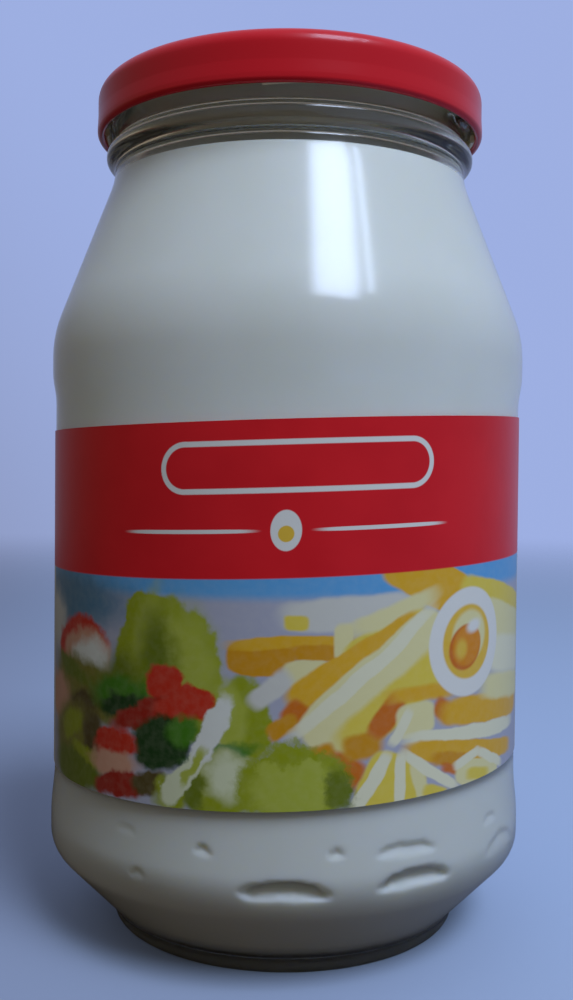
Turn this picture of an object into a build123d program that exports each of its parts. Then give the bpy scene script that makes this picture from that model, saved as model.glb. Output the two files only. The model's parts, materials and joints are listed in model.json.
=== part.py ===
from build123d import *
from math import cos, radians, tan
import os

# A jar of mayonnaise: a round glass vessel, its filling, a twist-off cap and a paper label.
# The origin is the centre of the foot, on the surface that the jar stands on. +Z is up, and
# the front of the label faces -Y. Sizes are in millimetres and degrees. Angles around the
# jar start at the front and go towards +X.

# Glass, outside, from the foot up
FOOT_RADIUS = 30.6
FOOT_HEIGHT = 2.5
FOOT_EDGE = 1.6
STANDING_RING = 2.4  # width of the flat ring that the jar stands on
PUSH_UP_HEIGHT = 3.0
PUSH_UP_SLOPE = 5.0  # width of the slope between the standing ring and the push-up
HEEL_SLOPE = 43.5  # from upright
HEEL_ROUNDING = 5.5
BODY_RADIUS = 41.85  # the two bumper rings, the widest part of the jar
LOWER_BUMPER = 6.1
LOWER_STEP = 6.0
LABEL_RECESS = 0.6
PANEL_HEIGHT = 65.1
UPPER_STEP = 3.5
UPPER_BUMPER = 7.4
STEP_ROUNDING = 25.0
SHOULDER_SLOPE = 21.1  # from upright
SHOULDER_ROUNDING = 20.0
NECK_RADIUS = 31.2
NECK_ROUNDING = 12.0

# Glass, the finish that the cap twists on to
BEAD_RISE = 4.2  # from the foot of the neck to the middle of the bead
BEAD_DEPTH = 1.55
BEAD_WIDTH = 3.6
BEAD_ROUNDING = 0.75
RIM_RISE = 11.8  # from the middle of the bead to the rim
RIM_WIDTH = 2.6
RIM_ROUNDING = 0.8
THREADS = 4
THREAD_DEPTH = 1.65
THREAD_WIDTH = 1.7
THREAD_SPAN = 52.0
THREAD_SLOPE = 3.5
THREAD_DROP = 5.8  # from the rim to the middle of a thread

# Glass, inside
WALL = 2.3
HEEL_WALL = 3.2
FLOOR = 3.4
FLOOR_ROUNDING = 4.0
INNER_ROUNDING = 6.0

# Twist-off cap
CAP_HEIGHT = 8.7
CAP_SHEET = 0.4
CAP_CLEARANCE = 1.0  # between the threads and the cap's wall
CAP_EDGE = 2.6
CAP_RING = 6.4  # width of the raised ring round the cap's top
CAP_RING_SLOPE = 1.2
CAP_PANEL_DROP = 1.0
CURL_HEIGHT = 1.7
CURL_OUT = 0.25
CURL_IN = 0.75
CURL_ROUNDING = 0.6
LUG_SPAN = 15.0
LUG_THICKNESS = 0.8
LUG_OVERLAP = 0.9  # how far a lug reaches in under its thread
LUG_CLEARANCE = 0.25

# Paper label
LABEL_SHEET = 0.2
LABEL_MARGIN = 3.85  # bare panel above and below the label, where it is stuck on straight
LABEL_DROP = 0.25
LABEL_TILT = 2.4
LABEL_HIGH_SIDE = 117.0  # the side where the tilted label sits highest
LABEL_OVERLAP = 9.0  # degrees of doubled paper at the back

# Filling
HEADSPACE = 16.0  # from the rim down to the filling
FILL_ROUNDING = 0.6

# Air pockets between the filling and the glass: angle, height above the heel,
# half width and half height
POCKETS = [
    (0.7, 3.2, 8.6, 1.9),
    (29.6, 3.1, 8.6, 1.9),
    (27.0, 8.0, 7.0, 1.1),
    (-17.2, 8.3, 1.5, 1.0),
    (11.1, 8.5, 1.4, 0.9),
    (54.0, 8.8, 2.2, 0.8),
    (60.0, 4.1, 6.0, 1.9),
    (-31.0, 3.3, 1.3, 0.9),
]

# Heights and radii that follow
panel_radius = BODY_RADIUS - LABEL_RECESS
heel_top = FOOT_HEIGHT + (BODY_RADIUS - FOOT_RADIUS) / tan(radians(HEEL_SLOPE))
panel_bottom = heel_top + LOWER_BUMPER + LOWER_STEP
panel_top = panel_bottom + PANEL_HEIGHT
shoulder = panel_top + UPPER_STEP + UPPER_BUMPER
neck = shoulder + (BODY_RADIUS - NECK_RADIUS) / tan(radians(SHOULDER_SLOPE))
bead = neck + BEAD_RISE
rim = bead + RIM_RISE
thread_radius = NECK_RADIUS + THREAD_DEPTH
thread_height = rim - THREAD_DROP
cap_inside = thread_radius + CAP_CLEARANCE
cap_wall = cap_inside + CAP_SHEET
cap_top = rim + CAP_SHEET
cap_bottom = cap_top - CAP_HEIGHT


def turned(points, arc=360):
    """Turn a closed outline of (radius, height, rounding) points about the upright axis."""
    outline = FilletPolyline(
        *[(radius, height) for radius, height, _ in points],
        radius=[rounding for _, _, rounding in points],
        close=True,
    )
    return revolve(Plane.XZ * make_face(outline), Axis.Z, arc)


def band(low_radius, high_radius, low, high, arc, rounding=0.0):
    """A ring segment of square section, with its middle at the front."""
    section = [
        (low_radius, low, 0),
        (high_radius, low, rounding),
        (high_radius, high, rounding),
        (low_radius, high, 0),
    ]
    return Rot(Z=-90 - arc / 2) * turned(section, arc)


def inclined(segment, height):
    """Tilt a segment at the front about its own middle, as a thread climbs."""
    return Pos(Z=height) * Rot(Y=-THREAD_SLOPE) * Pos(Z=-height) * segment


def around(segment, count):
    """Copies of a segment, evenly spaced round the jar."""
    return [Rot(Z=360 * i / count) * segment for i in range(count)]


def vessel_outside():
    ring_outside = FOOT_RADIUS - FOOT_EDGE
    ring_inside = ring_outside - STANDING_RING
    half_bead = BEAD_WIDTH / 2
    bead_radius = NECK_RADIUS + BEAD_DEPTH
    return turned([
        (0, PUSH_UP_HEIGHT, 0),
        (ring_inside - PUSH_UP_SLOPE, PUSH_UP_HEIGHT, STANDING_RING),
        (ring_inside, 0, 1.0),
        (FOOT_RADIUS, 0, FOOT_EDGE),
        (FOOT_RADIUS, FOOT_HEIGHT, 1.0),
        (BODY_RADIUS, heel_top, HEEL_ROUNDING),
        (BODY_RADIUS, heel_top + LOWER_BUMPER, STEP_ROUNDING),
        (panel_radius, panel_bottom, STEP_ROUNDING),
        (panel_radius, panel_top, STEP_ROUNDING / 2),
        (BODY_RADIUS, panel_top + UPPER_STEP, STEP_ROUNDING / 2),
        (BODY_RADIUS, shoulder, SHOULDER_ROUNDING),
        (NECK_RADIUS, neck, NECK_ROUNDING),
        (NECK_RADIUS, bead - half_bead, BEAD_ROUNDING),
        (bead_radius, bead - half_bead / 2, BEAD_ROUNDING),
        (bead_radius, bead + half_bead / 2, BEAD_ROUNDING),
        (NECK_RADIUS, bead + half_bead, BEAD_ROUNDING),
        (NECK_RADIUS, rim, RIM_ROUNDING),
        (0, rim, 0),
    ])


def cavity():
    """The space inside the glass, up to the rim."""
    inside = panel_radius - WALL
    mouth = NECK_RADIUS - RIM_WIDTH
    floor = PUSH_UP_HEIGHT + FLOOR
    heel_offset = HEEL_WALL / cos(radians(HEEL_SLOPE))
    heel_run = tan(radians(HEEL_SLOPE))
    shoulder_offset = WALL / cos(radians(SHOULDER_SLOPE))
    shoulder_run = tan(radians(SHOULDER_SLOPE))
    floor_radius = FOOT_RADIUS - heel_offset + (floor - FOOT_HEIGHT) * heel_run
    heel_inside = FOOT_HEIGHT + (inside + heel_offset - FOOT_RADIUS) / heel_run
    shoulder_inside = shoulder + (BODY_RADIUS - shoulder_offset - inside) / shoulder_run
    neck_inside = shoulder + (BODY_RADIUS - shoulder_offset - mouth) / shoulder_run
    return turned([
        (0, floor, 0),
        (floor_radius, floor, FLOOR_ROUNDING),
        (inside, heel_inside, INNER_ROUNDING),
        (inside, shoulder_inside, SHOULDER_ROUNDING),
        (mouth, neck_inside, INNER_ROUNDING),
        (mouth, rim, 0),
        (0, rim, 0),
    ])


def jar():
    mouth = NECK_RADIUS - RIM_WIDTH
    thread = band(
        NECK_RADIUS - THREAD_DEPTH / 2,
        thread_radius,
        thread_height - THREAD_WIDTH / 2,
        thread_height + THREAD_WIDTH / 2,
        THREAD_SPAN,
        THREAD_WIDTH / 4,
    )
    glass = vessel_outside() - cavity()
    mouth_edges = glass.edges().filter_by(GeomType.CIRCLE).filter_by(
        lambda edge: abs(edge.radius - mouth) < 0.01 and abs(edge.center().Z - rim) < 0.01
    )
    glass = fillet(mouth_edges, RIM_ROUNDING)
    for copy in around(inclined(thread, thread_height), THREADS):
        glass += copy
    return glass


def lid():
    curl_radius = cap_wall + CURL_OUT
    curl_inside = cap_inside - CURL_IN
    curl_top = cap_bottom + CURL_HEIGHT
    ring_inside = cap_wall - CAP_RING
    panel_edge = ring_inside - CAP_RING_SLOPE
    panel_top_height = cap_top - CAP_PANEL_DROP
    shell = turned([
        (0, panel_top_height, 0),
        (panel_edge, panel_top_height, 1.0),
        (ring_inside, cap_top, 1.0),
        (cap_wall, cap_top, CAP_EDGE),
        (cap_wall, curl_top + CURL_OUT, CURL_ROUNDING),
        (curl_radius, curl_top - CURL_OUT, CURL_ROUNDING / 2),
        (curl_radius, cap_bottom, CURL_ROUNDING),
        (curl_inside, cap_bottom, CURL_ROUNDING),
        (curl_inside, curl_top, CURL_ROUNDING / 2),
        (cap_inside, curl_top, CURL_ROUNDING / 2),
        (cap_inside, rim, CAP_EDGE - CAP_SHEET),
        (ring_inside + CAP_SHEET / 2, rim, 0.6),
        (panel_edge + CAP_SHEET / 2, panel_top_height - CAP_SHEET, 1.0),
        (0, panel_top_height - CAP_SHEET, 0),
    ])
    lug_top = thread_height - THREAD_WIDTH / 2 - LUG_CLEARANCE
    lug = band(
        thread_radius - LUG_OVERLAP,
        cap_inside - CURL_IN / 2,
        lug_top - LUG_THICKNESS,
        lug_top,
        LUG_SPAN,
    )
    for copy in around(inclined(lug, thread_height), THREADS):
        shell += copy
    return shell


def label():
    radius = panel_radius + LABEL_SHEET
    height = PANEL_HEIGHT - 2 * LABEL_MARGIN
    middle = (panel_bottom + panel_top) / 2 - LABEL_DROP
    wrap = turned([
        (panel_radius, panel_bottom, 0),
        (radius, panel_bottom, 0),
        (radius, panel_top, 0),
        (panel_radius, panel_top, 0),
    ])
    flap = band(
        panel_radius, radius + LABEL_SHEET, panel_bottom, panel_top, LABEL_OVERLAP
    )
    wrap += Rot(Z=180) * flap
    cut = Box(3 * BODY_RADIUS, 3 * BODY_RADIUS, height)
    to_high_side = Rot(Z=LABEL_HIGH_SIDE)
    return wrap & (Pos(Z=middle) * to_high_side * Rot(X=-LABEL_TILT) * cut)


def pocket(angle, rise, half_width, half_height):
    """A hollow with the shape of a seed, its pointed ends to left and right."""
    edge = ThreePointArc((-half_width, 0), (0, half_height), (half_width, 0))
    hollow = revolve(make_face(edge + Line(edge @ 0, edge @ 1)), Axis.X)
    middle = Pos(0, WALL - panel_radius, heel_top + rise)
    return Rot(Z=angle) * middle * hollow


def mayonnaise():
    level = rim - HEADSPACE
    below_level = Pos(Z=level) * Box(
        3 * BODY_RADIUS, 3 * BODY_RADIUS, level, align=(Align.CENTER, Align.CENTER, Align.MAX)
    )
    filling = cavity() & below_level
    filling = fillet(filling.faces().sort_by(Axis.Z)[-1].edges(), FILL_ROUNDING)
    for place in POCKETS:
        filling -= pocket(*place)
    return filling


os.makedirs("parts", exist_ok=True)
for name, make in (("jar", jar), ("mayonnaise", mayonnaise), ("lid", lid), ("label", label)):
    shape = make()
    box = shape.bounding_box()
    print(f"{name}: {shape.volume / 1000:.1f} cm3, from {box.min.Z:.2f} to {box.max.Z:.2f} high")
    export_step(shape, f"parts/{name}.step")
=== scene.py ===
# %% [markdown]
# # A jar of mayonnaise
# This lesson gives a finished look to a jar that is already built to size. The frame holds
# its four pieces: the glass vessel, its filling, a twist-off cap and a paper label. Each is
# remodelled here as a fine mesh in exactly the same place, with a finish of its own.

# %% Load the frame
import json
from math import atan2, ceil, cos, degrees, pi, radians, sin, tan

import bpy
from mathutils import Matrix, Vector

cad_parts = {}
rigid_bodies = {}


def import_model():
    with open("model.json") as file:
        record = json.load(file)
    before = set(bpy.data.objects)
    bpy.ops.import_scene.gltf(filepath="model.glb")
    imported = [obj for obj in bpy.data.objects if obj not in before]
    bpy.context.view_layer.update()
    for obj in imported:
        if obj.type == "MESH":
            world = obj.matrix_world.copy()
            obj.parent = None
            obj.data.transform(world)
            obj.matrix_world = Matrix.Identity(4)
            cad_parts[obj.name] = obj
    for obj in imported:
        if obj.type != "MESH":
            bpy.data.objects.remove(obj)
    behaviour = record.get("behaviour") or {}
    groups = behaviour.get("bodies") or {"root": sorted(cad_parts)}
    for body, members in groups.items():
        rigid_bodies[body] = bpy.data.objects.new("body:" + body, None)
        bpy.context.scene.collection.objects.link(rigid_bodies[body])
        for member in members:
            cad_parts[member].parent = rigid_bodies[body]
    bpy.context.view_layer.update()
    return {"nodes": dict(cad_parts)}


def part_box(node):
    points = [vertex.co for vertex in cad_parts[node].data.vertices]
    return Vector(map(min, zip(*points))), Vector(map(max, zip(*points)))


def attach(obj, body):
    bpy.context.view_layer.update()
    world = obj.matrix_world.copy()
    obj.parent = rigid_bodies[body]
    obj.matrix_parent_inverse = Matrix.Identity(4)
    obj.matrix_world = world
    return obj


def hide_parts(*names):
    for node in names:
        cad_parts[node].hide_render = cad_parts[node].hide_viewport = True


for leftover in list(bpy.data.objects):
    bpy.data.objects.remove(leftover)
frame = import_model()
MM = 0.001
print("pieces in the frame:", ", ".join(sorted(frame["nodes"])))

# %% [markdown]
# ## Sizes
# The outer sizes are read from the frame, in millimetres. The sizes that a box can't give,
# such as slopes and roundings, are named here. Angles round the jar start at the front,
# which faces -Y, and go towards +X.

# %% Sizes of the glass
glass_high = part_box("jar")[1] / MM
BODY_RADIUS = glass_high.x
RIM = glass_high.z
FOOT_RADIUS = 30.6
FOOT_HEIGHT = 2.5
FOOT_EDGE = 1.6
FOOT_CORNER = 2.2
STANDING_RING = 2.4
STANDING_RING_ROUNDING = 1.0
PUSH_UP_HEIGHT = 3.0
PUSH_UP_SLOPE = 5.0
HEEL_SLOPE = radians(43.5)
HEEL_ROUNDING = 5.5
LOWER_BUMPER = 6.1
LOWER_STEP = 6.0
LABEL_RECESS = 0.6
PANEL_HEIGHT = 65.1
UPPER_STEP = 3.5
UPPER_BUMPER = 7.4
STEP_ROUNDING = 25.0
SHOULDER_SLOPE = radians(21.1)
SHOULDER_ROUNDING = 20.0
NECK_RADIUS = 31.2
NECK_ROUNDING = 12.0
BEAD_DROP = 11.8
BEAD_DEPTH = 1.55
BEAD_WIDTH = 3.6
BEAD_ROUNDING = 1.3
RIM_WIDTH = 2.6
RIM_ROUNDING = 0.8
WALL = 2.3
HEEL_WALL = 3.2
FLOOR = 3.4
FLOOR_ROUNDING = 4.0
INNER_ROUNDING = 6.0
INNER_HEEL_ROUNDING = 10.0
PANEL_RADIUS = BODY_RADIUS - LABEL_RECESS
HEEL_TOP = FOOT_HEIGHT + (BODY_RADIUS - FOOT_RADIUS) / tan(HEEL_SLOPE)
PANEL_BOTTOM = HEEL_TOP + LOWER_BUMPER + LOWER_STEP
PANEL_TOP = PANEL_BOTTOM + PANEL_HEIGHT
SHOULDER = PANEL_TOP + UPPER_STEP + UPPER_BUMPER
NECK = SHOULDER + (BODY_RADIUS - NECK_RADIUS) / tan(SHOULDER_SLOPE)
BEAD = RIM - BEAD_DROP
MOUTH = NECK_RADIUS - RIM_WIDTH
print(f"glass: radius {BODY_RADIUS:.2f}, rim at {RIM:.2f}, neck from {NECK:.2f}")

# %% Sizes of the cap, the filling and the label
cap_low, cap_high = [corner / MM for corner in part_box("lid")]
CAP_SHEET = 0.4
CAP_EDGE = 2.6
CAP_RING = 6.4
CAP_RING_SLOPE = 1.2
CAP_FOLD = 1.0
CAP_PANEL_DROP = 1.0
CURL_HEIGHT = 1.7
CURL_OUT = 0.25
CURL_SWELL = 0.12
CURL_IN = 0.75
CURL_ROUNDING = 0.6
CAP_RADIUS = cap_high.x - CURL_OUT
CAP_INSIDE = CAP_RADIUS - CAP_SHEET
LUG_SPAN = radians(15)
LUG_THICKNESS = 0.8
LUG_OVERLAP = 0.9
LUG_PLAY = 0.25
THREADS = 4
THREAD_DEPTH = 1.65
THREAD_WIDTH = 1.7
THREAD_SPAN = radians(52)
THREAD_SLOPE = radians(3.5)
THREAD_HEIGHT = RIM - 5.8
LEVEL = (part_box("mayonnaise")[1] / MM).z
label_low, label_high = [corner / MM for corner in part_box("label")]
LABEL_SHEET = 0.2
LABEL_OVERLAP = radians(9)
LABEL_TILT = tan(radians(2.4))
LABEL_HIGH_SIDE = radians(117)
LABEL_RADIUS = PANEL_RADIUS + LABEL_SHEET
LABEL_MIDDLE = (label_low.z + label_high.z) / 2
LABEL_HEIGHT = label_high.z - label_low.z - 2 * LABEL_RADIUS * LABEL_TILT
print(f"cap radius {CAP_RADIUS:.2f}, level {LEVEL:.2f}, label {LABEL_HEIGHT:.2f} tall")

# %% [markdown]
# ## Outlines with rounded corners
# Glass and pressed steel have no sharp corners. Each turned piece starts as a path of
# (radius, height, rounding) corners, and this helper walks along it: arcs become short
# steps, and straight runs are divided too, so that the turned mesh has even faces.

# %% Outline helper
ARC_STEP = radians(9)


def outline(corners, step=1.2):
    """Points along a path of (radius, height, rounding[, step]) corners."""
    points = [Vector(corners[0][:2])]

    def run_to(end, length):
        start = points[-1].copy()
        count = max(1, ceil((end - start).length / length))
        points.extend(start.lerp(end, (i + 1) / count) for i in range(count))

    for before, corner, after in zip(corners, corners[1:], corners[2:] + [None]):
        place = Vector(corner[:2])
        rounding = corner[2] if after else 0
        length = corner[3] if len(corner) > 3 else step
        if not rounding:
            run_to(place, length)
            continue
        arriving = (place - Vector(before[:2])).normalized()
        leaving = (Vector(after[:2]) - place).normalized()
        turn = arriving.angle_signed(leaving, 0)
        start = place - arriving * rounding * abs(tan(turn / 2))
        centre = start + Matrix.Rotation(-pi / 2 if turn > 0 else pi / 2, 2) @ arriving * rounding
        run_to(start, length)
        count = max(2, ceil(abs(turn) / ARC_STEP), ceil(abs(turn) * rounding / length))
        for i in range(count):
            spin = Matrix.Rotation(-turn * (i + 1) / count, 2)
            points.append(centre + spin @ (start - centre))
    return points


check = outline([(0, 0, 0), (10, 0, 2), (10, 10, 0)])
print(f"a test outline has {len(check)} points and ends at {check[-1].x:.1f}, {check[-1].y:.1f}")

# %% [markdown]
# ## Node maths in plain Python
# Both shaders and geometry trees are networks of sockets. This small class wraps one
# socket, so that an expression such as `1 - mask * 2` adds the Math nodes by itself. Every
# other kind of node comes from one method, `add`.

# %% A socket that can do arithmetic


class Flow:
    """The output of a node. Arithmetic on it adds Math nodes to the same tree."""

    def __init__(self, socket):
        self.socket = socket
        self.tree = socket.id_data

    @staticmethod
    def add(tree, kind, output=0, settings=None, **sockets):
        """Add a node: first its settings, then the values or links of its sockets."""
        node = tree.nodes.new(kind)
        for name, value in (settings or {}).items():
            if name == "stops":
                ramp = node.color_ramp.elements
                while len(ramp) < len(value):
                    ramp.new(1)
                for stop, (position, colour) in zip(ramp, value):
                    stop.position = position
                    stop.color = (*colour, 1)
            else:
                setattr(node, name, value)
        for name, value in sockets.items():
            key = int(name[1:]) if name[1:].isdigit() else name.replace("_", " ")
            socket = node.inputs[key]
            if isinstance(value, Flow):
                tree.links.new(value.socket, socket)
            else:
                socket.default_value = value
        return Flow(node.outputs[output]) if node.outputs else node

    def other(self, name):
        """Another output of the same node."""
        return Flow(self.socket.node.outputs[name])

    @staticmethod
    def maths(operation, *values):
        tree = next(value.tree for value in values if isinstance(value, Flow))
        sockets = {f"i{i}": value for i, value in enumerate(values)}
        return Flow.add(tree, "ShaderNodeMath", settings={"operation": operation}, **sockets)

    def __add__(self, value):
        return Flow.maths("ADD", self, value)

    def __sub__(self, value):
        return Flow.maths("SUBTRACT", self, value)

    def __rsub__(self, value):
        return Flow.maths("SUBTRACT", value, self)

    def __mul__(self, value):
        return Flow.maths("MULTIPLY", self, value)

    def __truediv__(self, value):
        return Flow.maths("DIVIDE", self, value)

    __radd__ = __add__
    __rmul__ = __mul__


def smooth(value, start, end, low=0.0, high=1.0):
    """A soft step: low up to start, high from end on."""
    return Flow.add(
        value.tree,
        "ShaderNodeMapRange",
        settings={"interpolation_type": "SMOOTHSTEP", "clamp": False},
        Value=value,
        i1=start,
        i2=end,
        i3=low,
        i4=high,
    )


def mixed(factor, first, second):
    """first where the factor is 0, and second where it is 1. Both are colours."""
    tree = factor.tree
    first, second = [v if isinstance(v, Flow) else (*v, 1) for v in (first, second)]
    return Flow.add(
        tree, "ShaderNodeMix", 2, {"data_type": "RGBA"}, i0=factor, i6=first, i7=second
    )


print("operators:", [name for name in vars(Flow) if name.startswith("__") and name[2] != "d"])

# %% [markdown]
# ## Turned pieces
# Glass vessel, filling and cap are all bodies of revolution. A lathe made of Geometry Nodes
# bends a flat grid round the upright axis: one side of the grid follows the outline, and
# the other goes once round, with its seam at the back. Compared with a Screw modifier it
# lets the seam and the poles be merged, and carries an attribute of the outline along.

# %% The lathe tree


def new_tree(name, inputs):
    """An empty geometry tree with named inputs, a Material input and one output."""
    tree = bpy.data.node_groups.new(name, "GeometryNodeTree")
    tree.interface.new_socket("Geometry", in_out="INPUT", socket_type="NodeSocketGeometry")
    for label, kind in (*inputs, ("Material", "Material")):
        tree.interface.new_socket(label, in_out="INPUT", socket_type=f"NodeSocket{kind}")
    tree.interface.new_socket("Geometry", in_out="OUTPUT", socket_type="NodeSocketGeometry")
    return tree, Flow(tree.nodes.new("NodeGroupInput").outputs[0])


def end_tree(tree, geometry, given):
    """Close a tree with Realize Instances and Set Material."""
    real = Flow.add(tree, "GeometryNodeRealizeInstances", Geometry=geometry)
    dressed = Flow.add(
        tree, "GeometryNodeSetMaterial", Geometry=real, Material=given.other("Material")
    )
    tree.links.new(dressed.socket, tree.nodes.new("NodeGroupOutput").inputs[0])


def axis_parts(tree, vector):
    """The three numbers of a vector."""
    parts = Flow.add(tree, "ShaderNodeSeparateXYZ", Vector=vector)
    return parts, parts.other("Y"), parts.other("Z")


lathe, given = new_tree("lathe", [("Segments", "Int")])
profile = given
count = Flow.add(lathe, "GeometryNodeAttributeDomainSize", Geometry=profile)
segments = given.other("Segments")
grid = Flow.add(
    lathe, "GeometryNodeMeshGrid", Size_X=1, Size_Y=1, Vertices_X=count, Vertices_Y=segments + 1
)
place = Flow.add(lathe, "GeometryNodeInputPosition")
along, turn, _ = axis_parts(lathe, place)
index = Flow.maths("ROUND", (along + 0.5) * (count - 1))
zone = Flow.add(
    lathe,
    "GeometryNodeSampleIndex",
    Geometry=profile,
    Value=Flow.add(lathe, "GeometryNodeInputNamedAttribute", Name="zone"),
    Index=index,
)
grid = Flow.add(lathe, "GeometryNodeStoreNamedAttribute", Geometry=grid, Name="zone", Value=zone)
point = Flow.add(
    lathe,
    "GeometryNodeSampleIndex",
    settings={"data_type": "FLOAT_VECTOR"},
    Geometry=profile,
    Value=place,
    Index=index,
)
radius, _, height = axis_parts(lathe, point)
angle = turn * (-2 * pi)
wrapped = Flow.add(
    lathe,
    "ShaderNodeCombineXYZ",
    X=radius * Flow.maths("SINE", angle),
    Y=radius * Flow.maths("COSINE", angle) * -1,
    Z=height,
)
turned_mesh = Flow.add(lathe, "GeometryNodeSetPosition", Geometry=grid, Position=wrapped)
turned_mesh = Flow.add(
    lathe, "GeometryNodeMergeByDistance", Geometry=turned_mesh, Distance=0.002 * MM
)
turned_mesh = Flow.add(lathe, "GeometryNodeSetShadeSmooth", Geometry=turned_mesh)
end_tree(lathe, turned_mesh, given)
print("lathe tree:", len(lathe.nodes), "nodes")

# %% [markdown]
# A tree's result has to become a plain mesh, because a finished piece carries no live tree.
# The helper below runs a tree on a mesh and keeps what comes out.

# %% Run a tree and keep the mesh


def link(name, mesh):
    piece = bpy.data.objects.new(name, mesh)
    bpy.context.scene.collection.objects.link(piece)
    return piece


def grown(piece, tree, **inputs):
    """Run a geometry tree on a piece, with its inputs by name, and keep the plain mesh."""
    modifier = piece.modifiers.new(tree.name, "NODES")
    modifier.node_group = tree
    for socket in tree.interface.items_tree:
        if socket.in_out == "INPUT" and socket.name.replace(" ", "_") in inputs:
            modifier[socket.identifier] = inputs[socket.name.replace(" ", "_")]
    depsgraph = bpy.context.evaluated_depsgraph_get()
    mesh = bpy.data.meshes.new_from_object(piece.evaluated_get(depsgraph), depsgraph=depsgraph)
    piece.modifiers.clear()
    piece.data = mesh
    mesh.name = piece.name
    return piece


def turned(name, points, material, zones=None, segments=256):
    """A body of revolution from outline points in millimetres."""
    mesh = bpy.data.meshes.new(name)
    edges = [(i, i + 1) for i in range(len(points) - 1)]
    mesh.from_pydata([(p.x * MM, 0, p.y * MM) for p in points], edges, [])
    mark = mesh.attributes.new("zone", "FLOAT", "POINT")
    mark.data.foreach_set("value", zones or [0.0] * len(points))
    return grown(link(name, mesh), lathe, Segments=segments, Material=material)


def report(piece):
    mesh = piece.data
    print(f"{piece.name}: {len(mesh.polygons)} faces, {len(mesh.vertices)} points")


print("helpers for meshes: link, grown, turned and report")

# %% [markdown]
# ## Finishes
# The glass is clear flint glass, faintly uneven, as a blown jar is: a very low bump bends
# the edges of every reflection a little, and a trace of roughness softens them. Light from
# lamps passes it, as it passes a real jar, so that what is inside is lit.

# %% Materials: a helper for the shader


def new_material(name):
    material = bpy.data.materials.new(name)
    material.use_nodes = True
    tree = material.node_tree
    tree.nodes.clear()
    return material, tree


def principled(tree, **sockets):
    """A Principled shader, with its sockets by name. surface() joins it to the output."""
    return Flow.add(tree, "ShaderNodeBsdfPrincipled", **sockets)


def surface(tree, shader):
    Flow.add(tree, "ShaderNodeOutputMaterial", Surface=shader)


def own_place(tree):
    """Object coordinates: the same as the frame's, in metres."""
    return Flow.add(tree, "ShaderNodeTexCoord", "Object")


def noise(tree, place, scale, detail=2.0):
    return Flow.add(tree, "ShaderNodeTexNoise", Vector=place, Scale=scale, Detail=detail)


def made(material):
    print(f"{material.name}: {len(material.node_tree.nodes)} nodes")


print("helpers for shaders: new_material, principled, surface, own_place, noise and made")

# %% Clear glass
clear_glass, tree = new_material("clear_glass")
waves = Flow.add(
    tree,
    "ShaderNodeBump",
    Height=noise(tree, own_place(tree), 40, 1),
    Distance=0.008 * MM,
)
pane = principled(
    tree,
    Base_Color=(0.97, 0.99, 0.975, 1),
    Roughness=0.14,
    IOR=1.52,
    Transmission_Weight=1.0,
    Normal=waves,
)
open_air = Flow.add(tree, "ShaderNodeBsdfTransparent", Color=(0.93, 0.95, 0.935, 1))
path = Flow.add(tree, "ShaderNodeLightPath", "Is Diffuse Ray")
for ray in (path, path.other("Is Shadow Ray")):
    pane = Flow.add(tree, "ShaderNodeMixShader", i0=ray, i1=pane, i2=open_air)
surface(tree, pane)
made(clear_glass)

# %% [markdown]
# Mayonnaise is a thick, pale cream. Pressed against glass it looks smooth and even, with
# faint clouds where the oil is a little richer and a few darker specks.

# %% Mayonnaise
CREAM = (0.80, 0.795, 0.725)
OILY_CREAM = (0.77, 0.765, 0.68)
SPECK = (0.22, 0.17, 0.09)
mayonnaise_cream, tree = new_material("mayonnaise_cream")
place = own_place(tree)
clouds = smooth(noise(tree, place, 45, 3), 0.35, 0.7)
cream = mixed(clouds, CREAM, OILY_CREAM)
crumbs = Flow.add(tree, "ShaderNodeTexVoronoi", "Distance", Vector=place, Scale=50, Randomness=1)
chosen = smooth(axis_parts(tree, crumbs.other("Color"))[0], 0.72, 0.74)
cream = mixed(smooth(crumbs, 0.012, 0.026, 0.9, 0) * chosen, cream, SPECK)
body = principled(
    tree,
    Base_Color=cream,
    Roughness=0.5,
    Specular_IOR_Level=0.3,
    Subsurface_Weight=1.0,
    Subsurface_Radius=(1.0, 0.9, 0.7),
    Subsurface_Scale=2.5 * MM,
)
surface(tree, body)
made(mayonnaise_cream)

# %% [markdown]
# The cap is tin-plated steel with a glossy red lacquer outside and a gold lacquer inside.
# The outline marks which is which, through its zone attribute.

# %% Lacquered steel
RED_LACQUER = (0.68, 0.010, 0.018)
GOLD_LACQUER = (0.84, 0.70, 0.45)
lacquered_steel, tree = new_material("lacquered_steel")
inside = Flow.add(tree, "ShaderNodeAttribute", "Fac", {"attribute_name": "zone"})
lacquer = mixed(smooth(inside, 0.45, 0.55), RED_LACQUER, GOLD_LACQUER)
peel = Flow.add(
    tree,
    "ShaderNodeBump",
    Height=noise(tree, own_place(tree), 900, 2),
    Distance=0.004 * MM,
)
cap_shader = principled(
    tree,
    Base_Color=lacquer,
    Roughness=0.3,
    Specular_IOR_Level=0.17,
    Coat_Weight=0.25,
    Coat_Roughness=0.07,
    Normal=peel,
)
surface(tree, cap_shader)
made(lacquered_steel)

# %% [markdown]
# ## The label's print
# The print is drawn by the shader on the label's own flat coordinates: millimetres round
# the jar from the front, and millimetres up from the paper's lower edge. It is a stack of
# simple shapes, each laid over the picture below it: blots are soft ellipses, and bars are
# straight strokes. Leaves go through a noise first, which ruffles their edges.

# %% Shapes for printing


def vector(operation, *values, output=0):
    """One step of vector maths."""
    tree = next(value.tree for value in values if isinstance(value, Flow))
    sockets = {f"i{i}": value for i, value in enumerate(values)}
    return Flow.add(tree, "ShaderNodeVectorMath", output, {"operation": operation}, **sockets)


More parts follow.
